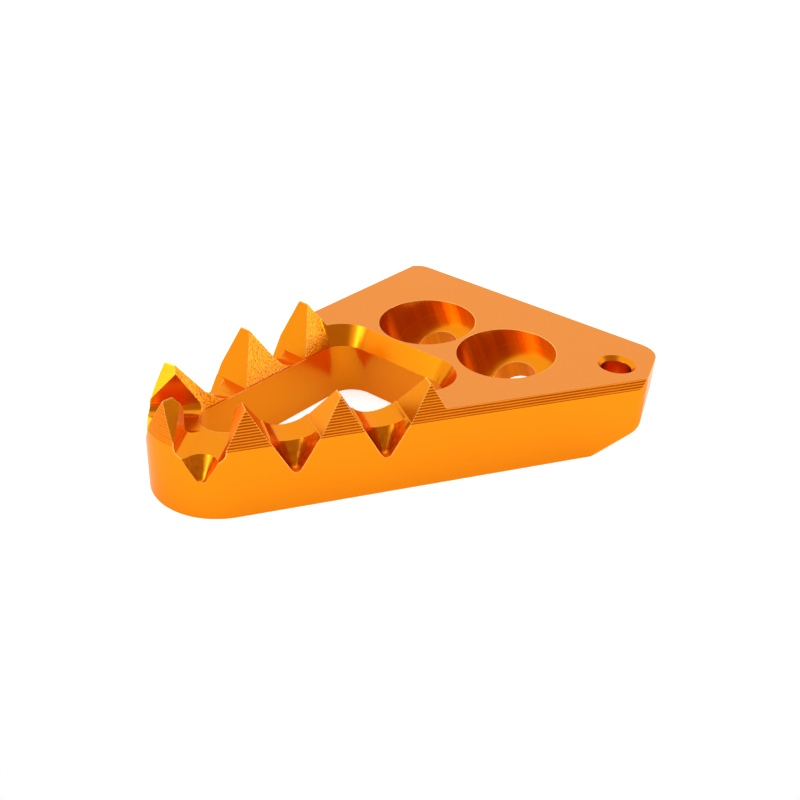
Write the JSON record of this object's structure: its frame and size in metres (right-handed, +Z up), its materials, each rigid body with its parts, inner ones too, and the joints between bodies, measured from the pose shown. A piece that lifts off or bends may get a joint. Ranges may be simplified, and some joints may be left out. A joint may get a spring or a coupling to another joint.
{
  "type": "brake pedal tip",
  "caption": "Toothed foot tip that bolts to a motorcycle brake pedal arm: a thick plate with slanted sunk screw holes and an open wedge-shaped wall of sharp grip teeth with a round toe.",
  "frame": {"origin": "middle of the outline, on the flat base", "axes": "+Z up out of the base, towards the teeth; +X along the straight front face, from the round toe to the screw end; +Y from the front face to the rear"},
  "size_m": [0.0734, 0.045, 0.0152],
  "materials": {
    "anodised_aluminium": "satin orange anodised"
  },
  "bodies": {
    "root": {"pedal_tip": "anodised_aluminium"}
  },
  "joints": []
}
